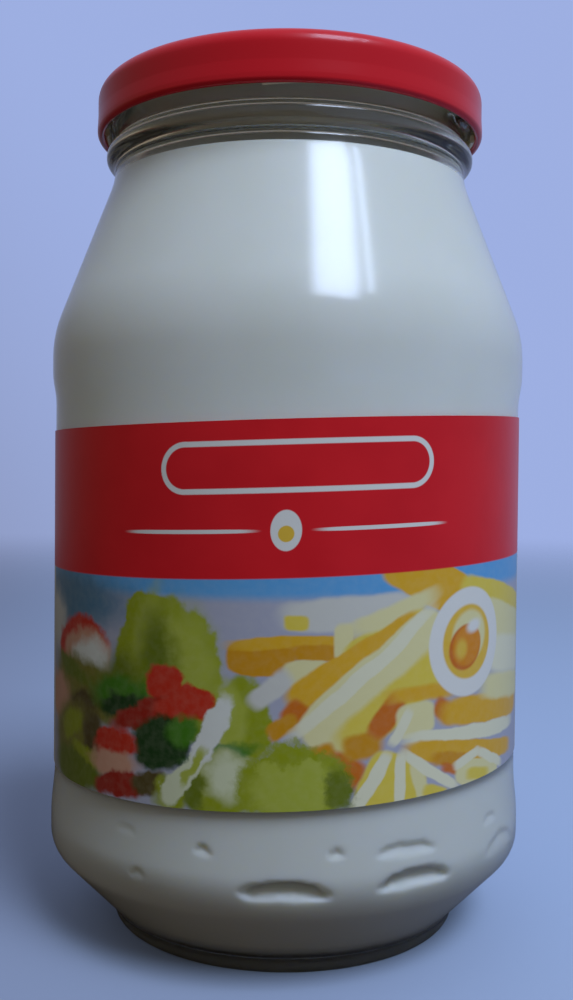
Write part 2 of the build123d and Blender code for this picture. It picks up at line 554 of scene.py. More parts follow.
def blot(picture, place, colour, centre, size, tilt=0, soft=0.12, square=False):
    """Lay an ellipse on the picture, or a rounded bar: centre and half sizes in millimetres."""
    if tilt:
        place = Flow.add(
            place.tree,
            "ShaderNodeVectorRotate",
            settings={"rotation_type": "Z_AXIS"},
            Vector=place,
            Center=(*centre, 0),
            Angle=radians(-tilt),
        )
    local = vector("DIVIDE", vector("SUBTRACT", place, (*centre, 0)), (*size, 1))
    if square:
        local = vector("MULTIPLY", local, local)
        soft = soft * 2
    reach = vector("LENGTH", local, output="Value")
    return mixed(smooth(reach, 1 - soft, 1 + soft, 1, 0), picture, colour)


def bar(picture, place, colour, start, end, width, soft=0.3):
    """Lay a straight stroke on the picture, all in millimetres."""
    run = Vector(end) - Vector(start)
    centre = tuple(Vector(start) + run / 2)
    half = (run.length / 2 + width * 0.1, width / 2)
    lean = degrees(atan2(run.y, run.x))
    return blot(picture, place, colour, centre, half, lean, soft / half[1] / 2, True)


print("printing shapes: blot and bar")

# %% Inks
INK = {
    "red": (0.76, 0.014, 0.02),
    "full red": (0.70, 0.011, 0.017),
    "cream": (0.80, 0.78, 0.68),
    "sky": (0.12, 0.38, 0.66),
    "far blue": (0.1, 0.22, 0.313),
    "cloth": (0.43, 0.43, 0.487),
    "linen": (0.66, 0.64, 0.54),
    "leaf": (0.3, 0.34, 0.009),
    "light leaf": (0.42, 0.46, 0.052),
    "shaded leaf": (0.15, 0.19, 0.009),
    "deep green": (0.015, 0.05, 0.009),
    "grass": (0.06, 0.2, 0.009),
    "olive": (0.22, 0.2, 0.026),
    "brown": (0.1, 0.07, 0.017),
    "stem": (0.7, 0.72, 0.44),
    "white": (0.78, 0.78, 0.66),
    "tomato": (0.6, 0.032, 0.012),
    "dark tomato": (0.36, 0.02, 0.009),
    "blush": (0.66, 0.34, 0.209),
    "fry": (0.78, 0.42, 0.02),
    "fry side": (0.66, 0.29, 0.01),
    "fry light": (0.78, 0.6, 0.07),
    "fry pale": (0.80, 0.72, 0.34),
    "fry edge": (0.82, 0.78, 0.52),
    "toasted": (0.64, 0.16, 0.01),
    "yellow": (0.80, 0.5, 0.05),
    "yolk": (0.74, 0.26, 0.01),
}
print(len(INK), "inks")

# %% [markdown]
# The picture is a plate of food, painted from back to front: sky and cloth, then a salad on
# the left, chips on the right, and a round badge with an egg.

# %% What the picture shows: blots (ink, centre, half size, tilt, softness)
SALAD = [
    ("far blue", (-42, 30), (16, 4.5), 0, 0.5),
    ("linen", (-50, 26), (5.5, 4.5), 0, 0.5),
    ("tomato", (-38.5, 22), (8.6, 5.3), 6, 0.10),
    ("blush", (-37.2, 20.9), (7.4, 4.7), 8, 0.18),
    ("white", (-35.5, 20.8), (5.5, 3.2), 10, 0.35),
    ("olive", (-36, 16), (13, 4.5), -8, 0.25),
    ("shaded leaf", (-41, 18.4), (6.5, 1.6), -14, 0.4),
    ("brown", (-38, 13), (6, 2.2), 12, 0.4),
    ("blush", (-48, 13), (6, 3.8), 0, 0.35),
    ("olive", (-40, 7), (9, 6), 0, 0.3),
    ("leaf", (-41, 9.5), (4, 2), 20, 0.4),
    ("brown", (-33.5, 8.5), (3, 4), 20, 0.4),
    ("shaded leaf", (-40, 2.5), (9, 3.5), 0, 0.3),
    ("leaf", (-36, 5.5), (4.5, 1.4), -10, 0.4),
    ("leaf", (-18.8, 20.4), (9.4, 11.2), 8, 0.05),
    ("leaf", (-21.8, 27.0), (4.8, 5.4), -10, 0.07),
    ("light leaf", (-14.8, 21.5), (4.6, 8.2), 12, 0.5),
    ("light leaf", (-22.4, 27.0), (1.6, 5.6), -20, 0.7),
    ("shaded leaf", (-20.0, 22.5), (3.0, 6.0), 10, 0.7),
    ("shaded leaf", (-27.5, 18), (5.0, 4.0), 35, 0.6),
    ("grass", (-27, 16.2), (7, 2.6), 4, 0.4),
    ("deep green", (-27, 14.6), (5, 1.9), 10, 0.3),
    ("tomato", (-18.6, 18.4), (3.4, 3.1), 0, 0.14),
    ("tomato", (-13.6, 15.9), (3.2, 2.6), -15, 0.16),
    ("dark tomato", (-21, 13.9), (8.6, 2.1), 17, 0.2),
    ("tomato", (-16, 15.2), (4.6, 2.4), 10, 0.25),
    ("deep green", (-19.4, 9.3), (5.2, 4.2), 14, 0.16),
    ("grass", (-15.4, 11.6), (2.8, 1.9), 30, 0.4),
    ("tomato", (-28.6, 8.2), (4.8, 2.7), 6, 0.2),
    ("blush", (-29, 5.4), (5.4, 1.9), 0, 0.35),
    ("dark tomato", (-27.5, 2.2), (6, 2.1), 6, 0.2),
    ("brown", (-21.5, 3.2), (3.2, 1.7), 12, 0.3),
    ("leaf", (-17.4, 1.8), (3.0, 2.6), 20, 0.3),
    ("leaf", (-5.4, 13.8), (3.4, 6.2), 12, 0.13),
    ("light leaf", (-8.2, 13.4), (2.6, 5.4), 4, 0.3),
    ("grass", (-9.5, 8.6), (5.6, 1.1), 12, 0.4),
    ("leaf", (-9, 4), (6.6, 5), 0, 0.14),
    ("stem", (-8.2, 5.4), (3.6, 3.3), 0, 0.5),
    ("shaded leaf", (-13.6, 2.6), (1.6, 2.8), -8, 0.4),
]
FRILL = [
    ("leaf", (1.4, 3.9), (8.6, 5.6), 0, 0.12),
    ("light leaf", (1.6, 3.2), (6.6, 4.4), 0, 0.3),
    ("shaded leaf", (8.2, 2.6), (2.2, 3.4), 10, 0.4),
    ("leaf", (0.6, 8.4), (3.2, 1.9), 0, 0.35),
    ("light leaf", (-2.4, 6.4), (1.6, 1.2), 0, 0.5),
    ("light leaf", (3.8, 6.8), (1.4, 1.1), 0, 0.5),
]
print(len(SALAD) + len(FRILL), "blots of salad")

# %% What the picture shows: bars (ink, start, end, width, softness)
CHIPS = [
    ("linen", (0, 28.5), (20, 29), 5.0, 0.9),
    ("fry", (16, 36), (31, 29), 7.0, 0.5),
    ("fry light", (30, 30), (54, 24), 7.0, 0.6),
    ("fry pale", (34, 26), (56, 20), 7.0, 0.8),
    ("fry light", (0, 27.6), (3.2, 27.6), 2.4, 0.5),
    ("fry side", (-8, 22.9), (1.0, 22.6), 5.2, 0.35),
    ("fry", (-8, 24.7), (10, 24.7), 1.9, 0.4),
    ("fry side", (1, 23), (9, 23), 2.4, 0.5),
    ("fry pale", (8.6, 22.4), (8.8, 27.0), 3.0, 0.5),
    ("fry light", (9.5, 22.2), (22, 27.6), 4.6, 0.5),
    ("fry pale", (9.5, 26), (24, 30.6), 2.6, 0.8),
    ("fry pale", (0, 20.2), (6.4, 20.2), 3.6, 0.45),
    ("linen", (-4.6, 16), (0.4, 20), 3.4, 0.8),
    ("fry", (1.0, 16.0), (21, 26.6), 5.4, 0.5),
    ("fry side", (3.0, 13.9), (16.5, 22.4), 2.4, 0.7),
    ("toasted", (0.4, 13.0), (2.6, 15.6), 3.4, 0.9),
    ("fry side", (-2.2, 11.4), (1.6, 13.4), 2.6, 0.6),
    ("fry pale", (4.4, 10.0), (25.4, 25.2), 10.6, 0.5),
    ("fry light", (8.6, 9.2), (26.0, 20.4), 6.2, 1.2),
    ("fry edge", (1.2, 11.2), (23.4, 28.4), 2.3, 0.4),
    ("fry side", (5.0, 9.2), (5.8, 5.4), 4.2, 0.9),
    ("toasted", (6.4, 6.6), (11.4, 4.2), 4.6, 1.1),
    ("fry side", (9.0, 8.6), (14.6, 9.4), 4.0, 1.0),
    ("toasted", (13.6, 10.6), (17.6, 15.2), 3.8, 0.7),
    ("fry", (16, 15.6), (28, 15.6), 2.4, 0.9),
    ("toasted", (24.4, 13.6), (28, 11.4), 3.2, 0.8),
    ("fry", (26, 12.2), (52, 9.4), 4.8, 0.7),
    ("fry pale", (36, 14.6), (56, 11.6), 4.4, 1.0),
    ("fry edge", (38, 19.5), (56, 16.5), 6.0, 1.2),
    ("fry pale", (17.6, 11.4), (23.6, 12.0), 5.0, 0.6),
    ("fry edge", (18.6, 9.0), (48, 6.6), 2.4, 0.4),
    ("fry edge", (19.6, 13.0), (16.4, 8.6), 1.8, 0.4),
    ("fry", (19.0, 7.2), (47, 2.6), 3.4, 0.4),
    ("fry side", (24.0, 5.2), (33, 3.4), 2.2, 0.6),
    ("toasted", (26.0, 3.6), (29.4, 2.2), 1.4, 0.6),
    ("fry light", (12.6, 4.4), (20.8, 0.2), 9.0, 0.6),
    ("fry edge", (15.8, 7.2), (10.4, -0.8), 2.2, 0.35),
    ("fry light", (17.4, 6.4), (15.4, -0.8), 1.7, 0.35),
    ("fry edge", (18.0, 6.8), (17.8, -0.8), 1.9, 0.35),
    ("fry pale", (20.6, 5.4), (22.4, -0.6), 2.4, 0.6),
    ("fry edge", (18.4, 7.0), (29.2, -0.4), 1.7, 0.35),
    ("fry light", (22.4, 1.0), (26.6, -0.8), 1.9, 0.5),
    ("fry pale", (29.2, 2.2), (40.6, 0.0), 4.2, 0.4),
    ("fry edge", (28.6, 3.2), (34.8, 4.6), 1.6, 0.4),
    ("fry edge", (34.4, 4.6), (42.6, 0.6), 1.6, 0.4),
    ("fry light", (31.8, 1.4), (37.6, 0.4), 1.9, 0.6),
]
STEMS = [
    ("stem", (-18.6, 0.8), (-12.4, 8.4), 3.2, 0.5),
    ("white", (-13.0, 7.6), (-8.6, 16.4), 3.4, 0.6),
    ("light leaf", (-15.6, 4.0), (-11.8, 9.4), 1.4, 0.5),
]
BADGE = [
    ("cream", (31.6, 22.3), (8.7, 8.5), 0, 0.03),
    ("yellow", (31.6, 22.3), (5.9, 5.8), 0, 0.05),
    ("fry pale", (31.9, 23.2), (4.2, 4.0), 0, 0.12),
    ("toasted", (30.9, 21.5), (3.9, 3.5), 20, 0.08),
    ("yolk", (31.3, 21.7), (3.5, 3.1), 20, 0.12),
    ("yellow", (29.9, 21.3), (1.3, 1.5), 0, 0.5),
    ("cream", (32.9, 24.6), (1.7, 1.0), 10, 0.5),
]
print(len(CHIPS), "bars of chips,", len(BADGE), "parts of the badge")

# %% The picture
BAND_LOW = 34.2
PICTURE_END = 53.0
printed_paper, tree = new_material("printed_paper")
flat = vector("ADD", Flow.add(tree, "ShaderNodeUVMap", settings={"uv_map": "print"}), (0, 0, 0))
u, w, _ = axis_parts(tree, flat)


def wavering(place, scale, amount):
    """The same place, moved about by a noise: scale per millimetre, amount in millimetres."""
    cloud = noise(place.tree, place, scale, 3).other("Color")
    centred = vector("SUBTRACT", cloud, (0.5, 0.5, 0.5))
    return vector("ADD", place, vector("MULTIPLY", centred, (amount, amount, 0)))


ruffled = wavering(flat, 0.35, 3.2)
painted = wavering(flat, 0.16, 1.4)
curly = wavering(wavering(flat, 0.5, 2.6), 1.4, 1.6)
picture = mixed(smooth(w + u * 0.02, 30.2, 32.2), INK["cloth"], INK["sky"])
layers = [
    (blot, ruffled, SALAD),
    (bar, painted, CHIPS),
    (bar, ruffled, STEMS),
    (blot, curly, FRILL),
    (blot, flat, BADGE),
]
for stroke, place, shapes in layers:
    for ink, *shape in shapes:
        picture = stroke(picture, place, INK[ink], *shape)
mottle = noise(tree, flat, 0.7, 4)
picture = mixed(smooth(mottle, 0.3, 0.75, 0.0, 0.05), picture, INK["fry edge"])
past_end = smooth(Flow.maths("ABSOLUTE", u - 1), PICTURE_END, PICTURE_END + 0.3)
picture = mixed(past_end, picture, INK["linen"])
print("the picture:", len(tree.nodes), "nodes")

# %% [markdown]
# Above the picture runs a red band all the way round. Its ornament is plain: an empty rounded
# outline as wide as a title, and below it two rules on either side of a small oval. The
# distance from a straight core gives a rounded outline: points near one distance are inked.

# %% The red band
TITLE = (2.0, 50.6)
TITLE_HALF = (21.0, 3.5)
TITLE_CORE = (TITLE_HALF[0] - TITLE_HALF[1], 0, 0)
RULE_START = 5
RULE_END = 25
RULE_WIDTH = 0.6
ORNAMENT_HEIGHT = 41.2
band = mixed(smooth(noise(tree, flat, 0.08, 2), 0.3, 0.7), INK["red"], INK["full red"])
print_colour = mixed(smooth(w, BAND_LOW - 0.15, BAND_LOW + 0.15), picture, band)
inset = vector("ABSOLUTE", vector("SUBTRACT", flat, (*TITLE, 0)))
inset = vector("MAXIMUM", vector("SUBTRACT", inset, TITLE_CORE), (0, 0, 0))
pill = vector("LENGTH", inset, output="Value")
line = Flow.maths("ABSOLUTE", pill - TITLE_HALF[1])
print_colour = mixed(smooth(line, 0.3, 0.5, 1, 0), print_colour, INK["cream"])
for side in (-1, 1):
    ends = [(side * along, ORNAMENT_HEIGHT) for along in (RULE_START, RULE_END)]
    print_colour = bar(print_colour, flat, INK["cream"], *ends, RULE_WIDTH, 0.1)
oval = (0, ORNAMENT_HEIGHT)
spot = (0, ORNAMENT_HEIGHT - 0.5)
print_colour = blot(print_colour, flat, INK["cream"], oval, (2.3, 3.0), 0, 0.04)
print_colour = blot(print_colour, flat, INK["yellow"], spot, (1.2, 1.2), 0, 0.08)
print("with the band:", len(tree.nodes), "nodes")

# %% Printed paper
fibres = Flow.add(tree, "ShaderNodeBump", Height=noise(tree, flat, 0.5, 4), Distance=0.02 * MM)
paper = principled(
    tree,
    Base_Color=print_colour,
    Roughness=0.33,
    Specular_IOR_Level=0.2,
    Coat_Weight=0.1,
    Coat_Roughness=0.15,
    Normal=fibres,
)
surface(tree, paper)
made(printed_paper)
paper_edge, tree = new_material("paper_edge")
surface(tree, principled(tree, Base_Color=(0.72, 0.70, 0.66, 1), Roughness=0.8))
made(paper_edge)

# %% [markdown]
# ## The glass
# One closed outline gives the whole vessel. It starts on the axis under the push-up, goes
# out over the standing ring, up the outside, over the rim and back down the inside.

# %% The glass vessel
ring_outside = FOOT_RADIUS - FOOT_EDGE
ring_inside = ring_outside - STANDING_RING
bead_radius = NECK_RADIUS + BEAD_DEPTH
outside = [
    (0, PUSH_UP_HEIGHT, 0),
    (ring_inside - PUSH_UP_SLOPE, PUSH_UP_HEIGHT, STANDING_RING),
    (ring_inside, 0, STANDING_RING_ROUNDING),
    (FOOT_RADIUS, 0, FOOT_EDGE),
    (FOOT_RADIUS, FOOT_HEIGHT, FOOT_CORNER),
    (BODY_RADIUS, HEEL_TOP, HEEL_ROUNDING),
    (BODY_RADIUS, HEEL_TOP + LOWER_BUMPER, STEP_ROUNDING),
    (PANEL_RADIUS, PANEL_BOTTOM, STEP_ROUNDING),
    (PANEL_RADIUS, PANEL_TOP, STEP_ROUNDING / 2, 2.5),
    (BODY_RADIUS, PANEL_TOP + UPPER_STEP, STEP_ROUNDING / 2),
    (BODY_RADIUS, SHOULDER, SHOULDER_ROUNDING),
    (NECK_RADIUS, NECK, NECK_ROUNDING),
    (NECK_RADIUS, BEAD - BEAD_WIDTH / 2, BEAD_ROUNDING),
    (bead_radius, BEAD - BEAD_WIDTH / 4, BEAD_ROUNDING),
    (bead_radius, BEAD + BEAD_WIDTH / 4, BEAD_ROUNDING),
    (NECK_RADIUS, BEAD + BEAD_WIDTH / 2, BEAD_ROUNDING),
    (NECK_RADIUS, RIM, RIM_ROUNDING, 0.35),
    (MOUTH, RIM, RIM_ROUNDING),
]


def hollow(radius, gap=0.0):
    """The inner outline from the top down, moved out into the wall by the gap."""
    heel_offset = (HEEL_WALL - gap) / cos(HEEL_SLOPE)
    shoulder_offset = (WALL - gap) / cos(SHOULDER_SLOPE)
    floor = PUSH_UP_HEIGHT + FLOOR - gap
    wall = PANEL_RADIUS - WALL + gap
    floor_radius = FOOT_RADIUS - heel_offset + (floor - FOOT_HEIGHT) * tan(HEEL_SLOPE)
    heel = FOOT_HEIGHT + (wall + heel_offset - FOOT_RADIUS) / tan(HEEL_SLOPE)
    shoulder = SHOULDER + (BODY_RADIUS - shoulder_offset - wall) / tan(SHOULDER_SLOPE)
    neck = SHOULDER + (BODY_RADIUS - shoulder_offset - radius) / tan(SHOULDER_SLOPE)
    return [
        (radius, neck, INNER_ROUNDING),
        (wall, shoulder, SHOULDER_ROUNDING),
        (wall, heel, INNER_HEEL_ROUNDING),
        (floor_radius, floor, FLOOR_ROUNDING),
        (0, floor, 0),
    ]


vessel = turned("glass_vessel", outline(outside + hollow(MOUTH), 1.5), clear_glass)
report(vessel)

# %% [markdown]
# Four thread ridges climb round the finish. They follow a rule, so a second small tree
# raises them from the smooth glass: the angle round the jar is folded into one quarter, and
# a soft-edged band that climbs with that angle pushes the surface outwards.

# %% Thread ridges
threads, given = new_tree(
    "threads",
    [
        ("Count", "Int"),
        ("Height", "Float"),
        ("Depth", "Float"),
        ("Width", "Float"),
        ("Span", "Float"),
    ],
)
place = Flow.add(threads, "GeometryNodeInputPosition")
x, y, z = axis_parts(threads, place)
angle = Flow.maths("ARCTAN2", x, y * -1)
quarter = Flow.maths("DIVIDE", 2 * pi, given.other("Count"))
folded = Flow.maths("WRAP", angle, quarter * 0.5, quarter * -0.5)
climb = folded * (NECK_RADIUS * MM * tan(THREAD_SLOPE))
offset = Flow.maths("ABSOLUTE", z - given.other("Height") - climb) / given.other("Width")
ends = Flow.maths("ABSOLUTE", folded) / given.other("Span")
ridge = smooth(offset, 0.1, 0.75, 1, 0) * smooth(ends, 0.32, 0.56, 1, 0)
across = Flow.maths("SQRT", x * x + y * y)
ridge = ridge * Flow.maths("GREATER_THAN", across, (NECK_RADIUS - RIM_ROUNDING / 2) * MM)
push = ridge * given.other("Depth") / across
shift = Flow.add(threads, "ShaderNodeCombineXYZ", X=x * push, Y=y * push)
raised = Flow.add(threads, "GeometryNodeSetPosition", Geometry=given, Offset=shift)
end_tree(threads, raised, given)
grown(
    vessel,
    threads,
    Count=THREADS,
    Height=THREAD_HEIGHT * MM,
    Depth=THREAD_DEPTH * MM,
    Width=THREAD_WIDTH * MM,
    Span=THREAD_SPAN,
    Material=clear_glass,
)
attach(vessel, "root")
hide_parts("jar")
report(vessel)

# %% [markdown]
# ## The filling
# The mayonnaise wets the glass everywhere, so its surface is set inside the wall: with a
# gap, or with two surfaces in one place, the glass would look empty or blotchy. Thick glass
# bends light so that the filling seems to reach almost to the outside, and a filling that
# reaches well into the wall takes the same light and shade.

# %% The filling
INTO_WALL = 1.6
LEVEL_ROUNDING = 0.6
SOFT_SHOULDER = SHOULDER_ROUNDING * 1.6
FINE_STEP = 0.45
neck_corner, shoulder_corner, heel_corner, *floor_corners = hollow(MOUTH + INTO_WALL, INTO_WALL)
neck_radius, neck_height, _ = neck_corner
wall_radius, shoulder_height, _ = shoulder_corner
slope_run = (neck_radius - wall_radius) / (neck_height - shoulder_height)
level_radius = neck_radius + min(0, LEVEL - neck_height) * slope_run
filling_outline = [
    (0, LEVEL, 0),
    (level_radius, LEVEL, LEVEL_ROUNDING),
    (wall_radius, shoulder_height, SOFT_SHOULDER),
    (wall_radius, PANEL_BOTTOM + 2, 0, 2.5),
    (*heel_corner, FINE_STEP),
    *floor_corners,
]
filling = turned(
    "mayonnaise_filling", outline(filling_outline)[::-1], mayonnaise_cream, segments=512
)
report(filling)

# %% [markdown]
# Where a little air was caught while the jar was filled, the mayonnaise doesn't touch the
# glass. Such a pocket is a shallow hollow, arched like a smile turned over: its roof
# overhangs and lies in its own shade, and its floor slopes out to the wall. A tree presses
# the pockets into the smooth filling, after a noise has made the surface coordinates uneven.

# %% Air pockets (degrees round the jar, rise above the heel, half width, half height, depth)
POCKETS = [
    (0.6, 2.9, 7.2, 1.7, 2.4),
    (29.8, 3.3, 7.0, 1.6, 1.7),
    (27.4, 7.8, 6.0, 1.2, 0.55),
    (-17.0, 8.2, 1.3, 0.8, 0.5),
    (11.3, 8.3, 1.3, 0.9, 0.55),
    (54.0, 8.8, 2.2, 0.9, 0.25),
    (60.0, 4.1, 6.0, 1.9, 0.3),
    (-33.0, 3.2, 1.3, 1.0, 0.3),
    (-36.0, 9.4, 2.0, 0.8, 0.15),
]
pockets, given = new_tree("pockets", [("Arch", "Float"), ("Ragged", "Float")])
place = Flow.add(pockets, "GeometryNodeInputPosition")
x, y, z = axis_parts(pockets, place)
distance = Flow.maths("SQRT", x * x + y * y)
cloud = noise(pockets, place, 260, 2).other("Color")
_, jitter, lift = axis_parts(pockets, cloud)
angle = Flow.maths("ARCTAN2", x, y * -1) + (jitter - 0.5) * given.other("Ragged") / distance
height = z + (lift - 0.5) * given.other("Ragged")
press = 0.0
for side, rise, half_width, half_height, depth in POCKETS:
    across = (angle - radians(side)) * (wall_radius / half_width)
    up = (height - (HEEL_TOP + rise) * MM) / (half_height * MM)
    up = up + across * across * given.other("Arch")
    reach = Flow.maths("SQRT", across * across + up * up)
    press = press + smooth(reach, 0.7, 1.0, depth * MM, 0) * smooth(up, -1.0, 0.7, 0.1, 1.0)
push = press / distance
shift = Flow.add(pockets, "ShaderNodeCombineXYZ", X=x * push * -1, Y=y * push * -1)
pressed = Flow.add(pockets, "GeometryNodeSetPosition", Geometry=given, Offset=shift)
end_tree(pockets, pressed, given)
grown(
    filling,
    pockets,
    Arch=0.45,
    Ragged=1.5 * MM,
    Material=mayonnaise_cream,
)
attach(filling, "root")
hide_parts("mayonnaise")
report(filling)

# %% [markdown]
# ## The cap
# The steel sheet is pressed into a shallow dish: a raised ring round a lower panel, a
# straight wall, and an edge that is rolled inwards into a curl.

# %% The cap
curl_top = cap_low.z + CURL_HEIGHT
cap_ring = CAP_RADIUS - CAP_RING
panel_edge = cap_ring - CAP_RING_SLOPE
panel_height = cap_high.z - CAP_PANEL_DROP
under = [
    (0, panel_height - CAP_SHEET, 0),
    (panel_edge + CAP_SHEET / 2, panel_height - CAP_SHEET, CAP_FOLD),
    (cap_ring + CAP_SHEET / 2, cap_high.z - CAP_SHEET, CAP_FOLD - CAP_SHEET),
    (CAP_INSIDE, cap_high.z - CAP_SHEET, CAP_EDGE - CAP_SHEET),
    (CAP_INSIDE, curl_top, CURL_ROUNDING / 2),
    (CAP_INSIDE - CURL_IN, curl_top, CURL_ROUNDING / 2),
]
over = [
    (CAP_INSIDE - CURL_IN, cap_low.z, CURL_ROUNDING),
    (CAP_RADIUS + CURL_SWELL, cap_low.z, CURL_ROUNDING * 1.4),
    (CAP_RADIUS + CURL_SWELL, curl_top - CURL_OUT, 1.5),
    (CAP_RADIUS, curl_top + CURL_HEIGHT, 3.0),
    (CAP_RADIUS, cap_high.z, CAP_EDGE),
    (cap_ring, cap_high.z, CAP_FOLD),
    (panel_edge, panel_height, CAP_FOLD),
    (0, panel_height, 0),
]
CAP_STEP = 0.8
cap_points = outline(under + over, CAP_STEP)
gold_points = len(outline(under, CAP_STEP))
gold = [1.0 if i < gold_points else 0.0 for i in range(len(cap_points))]
cap = turned("cap", cap_points, lacquered_steel, gold)
report(cap)

# %% [markdown]
# Four lugs are bent inwards from the curl, and each one grips under a thread of the glass.
# They repeat round the cap, so a tree makes one as a short arc with a rounded section,
# tilts it to the climb of the thread, and places a copy on each point of a circle.

# %% The cap's lugs
LUG_INSIDE = NECK_RADIUS + THREAD_DEPTH - LUG_OVERLAP
LUG_OUTSIDE = CAP_INSIDE - CURL_IN / 2
LUG_HEIGHT = THREAD_HEIGHT - THREAD_WIDTH / 2 - LUG_PLAY - LUG_THICKNESS / 2
lugs, given = new_tree(
    "lugs",
    [
        ("Count", "Int"),
        ("Radius", "Float"),
        ("Depth", "Float"),
        ("Thickness", "Float"),
        ("Height", "Float"),
        ("Span", "Float"),
        ("Climb", "Float"),
    ],
)
span = given.other("Span")
arc = Flow.add(
    lugs,
    "GeometryNodeCurveArc",
    settings={"mode": "RADIUS"},
    Resolution=16,
    Radius=given.other("Radius"),
    Start_Angle=span * -0.5 - pi / 2,
    Sweep_Angle=span,
)
section = Flow.add(
    lugs,
    "GeometryNodeCurvePrimitiveQuadrilateral",
    Width=given.other("Thickness"),
    Height=given.other("Depth"),
)
corner = given.other("Thickness") * 0.4
section = Flow.add(lugs, "GeometryNodeFilletCurve", Curve=section, Radius=corner)
lug = Flow.add(lugs, "GeometryNodeCurveToMesh", Curve=arc, Profile_Curve=section, Fill_Caps=True)
x, y, z = axis_parts(lugs, Flow.add(lugs, "GeometryNodeInputPosition"))
climb = x * Flow.maths("TANGENT", given.other("Climb")) + given.other("Height")
lug = Flow.add(
    lugs,
    "GeometryNodeSetPosition",
    Geometry=lug,
    Offset=Flow.add(lugs, "ShaderNodeCombineXYZ", Z=climb),
)
lug = Flow.add(lugs, "GeometryNodeStoreNamedAttribute", Geometry=lug, Name="zone", Value=1.0)
spots = Flow.add(
    lugs, "GeometryNodePoints", Count=given.other("Count"), Position=(0, 0, 0), Radius=0.001
)
turns = Flow.add(lugs, "GeometryNodeInputIndex") * (2 * pi / THREADS)
copies = Flow.add(
    lugs,
    "GeometryNodeInstanceOnPoints",
    Points=spots,
    Instance=lug,
    Rotation=Flow.add(lugs, "ShaderNodeCombineXYZ", Z=turns),
)
whole = Flow.add(lugs, "GeometryNodeJoinGeometry", Geometry=copies)
lugs.links.new(given.socket, whole.socket.node.inputs[0])
end_tree(lugs, whole, given)
grown(
    cap,
    lugs,
    Count=THREADS,
    Radius=(LUG_INSIDE + LUG_OUTSIDE) / 2 * MM,
    Depth=(LUG_OUTSIDE - LUG_INSIDE) * MM,
    Thickness=LUG_THICKNESS * MM,
    Height=LUG_HEIGHT * MM,
    Span=LUG_SPAN,
    Climb=THREAD_SLOPE,
    Material=lacquered_steel,
)
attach(cap, "root")
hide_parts("lid")
report(cap)

# %% [markdown]
# ## The label
# The paper goes once round the panel and a little further, so that its end is glued over
# its start at the back. It was put on slightly askew: its edges lie in tilted planes.

# %% The label
LABEL_COLUMNS = 240
LABEL_ROWS = 24
SHARP_EDGE = radians(40)
lap = 2 * pi + LABEL_OVERLAP
points, faces, prints = [], [], []
for column in range(LABEL_COLUMNS + 1):
    angle = (column / LABEL_COLUMNS - 0.5) * lap
    past = max(0.0, (angle - pi + LABEL_OVERLAP) / LABEL_OVERLAP)
    away = PANEL_RADIUS + LABEL_SHEET * min(1.0, past)
    rise = LABEL_RADIUS * LABEL_TILT * cos(angle - LABEL_HIGH_SIDE)
    for row in range(LABEL_ROWS + 1):
        up = row / LABEL_ROWS * LABEL_HEIGHT
        height = LABEL_MIDDLE - LABEL_HEIGHT / 2 + up + rise
        points.append((away * sin(angle) * MM, -away * cos(angle) * MM, height * MM))
        prints.append((LABEL_RADIUS * angle, up))
for column in range(LABEL_COLUMNS):
    for row in range(LABEL_ROWS):
        corner = column * (LABEL_ROWS + 1) + row
        faces.append((corner, corner + LABEL_ROWS + 1, corner + LABEL_ROWS + 2, corner + 1))
mesh = bpy.data.meshes.new("paper_label")
mesh.from_pydata(points, [], faces)
print_place = mesh.uv_layers.new(name="print")
for corner in mesh.loops:
    print_place.data[corner.index].uv = prints[corner.vertex_index]
mesh.materials.append(printed_paper)
mesh.materials.append(paper_edge)
mesh.shade_smooth()
label = link("paper_label", mesh)
sheet = label.modifiers.new("sheet", "SOLIDIFY")
sheet.thickness = LABEL_SHEET * MM
sheet.offset = 1
sheet.material_offset_rim = 1
depsgraph = bpy.context.evaluated_depsgraph_get()
mesh = bpy.data.meshes.new_from_object(label.evaluated_get(depsgraph), depsgraph=depsgraph)
label.modifiers.clear()
label.data = mesh
mesh.set_sharp_from_angle(angle=SHARP_EDGE)
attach(label, "root")
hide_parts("label")
report(label)

# %% [markdown]
# ## Floor, camera and light
# The jar stands on a pale sweep. A large window-like lamp to the right of the camera
# gives the long highlight on the shoulder, and a dim sky that is cooler on the right
# rounds the shapes. The camera sees the floor and the sky in pale colours, while a Light
# Path node gives the jar darker ones, so that a pale room doesn't wash its colours out.
# Floor and sky are also painted with shade: they darken towards the left, like a shadow
# cast to that side, and what the glass shows through itself is darker and warmer on the
# left.

# %% The floor
FLOOR_SIZE = 2.0
FLOOR_SIDES = 64
corners = [2 * pi * i / FLOOR_SIDES for i in range(FLOOR_SIDES)]
points = [(FLOOR_SIZE * cos(corner), FLOOR_SIZE * sin(corner), 0) for corner in corners]
mesh = bpy.data.meshes.new("floor")
mesh.from_pydata(points, [], [list(range(FLOOR_SIDES))])
floor = link("floor", mesh)
pale_floor, tree = new_material("pale_floor")
path = Flow.add(tree, "ShaderNodeLightPath")
place = own_place(tree)
from_jar = vector("LENGTH", place, output="Value")
x, y, _ = axis_parts(tree, place)
across = x + y * 0.25
# Painted shadow: the floor that the camera sees darkens towards the left.
seen_floor_painted_shadow = mixed(smooth(across, -0.12, 0.10), (0.29, 0.32, 0.41), (0.41, 0.50, 0.66))
# The floor that the jar sees also darkens towards the left: painted shade.
bounced = mixed(smooth(across, -0.02, 0.10), (0.08, 0.06, 0.045), (0.20, 0.24, 0.34))
seen = Flow.add(tree, "ShaderNodeBsdfDiffuse", Color=seen_floor_painted_shadow)
unseen = Flow.add(tree, "ShaderNodeBsdfDiffuse", Color=bounced)
paint = Flow.add(tree, "ShaderNodeMixShader", i0=path, i1=unseen, i2=seen)
clear = Flow.add(tree, "ShaderNodeBsdfTransparent")
fade = smooth(from_jar, 0.35, 1.3)
surface(tree, Flow.add(tree, "ShaderNodeMixShader", i0=fade, i1=paint, i2=clear))
mesh.materials.append(pale_floor)
report(floor)

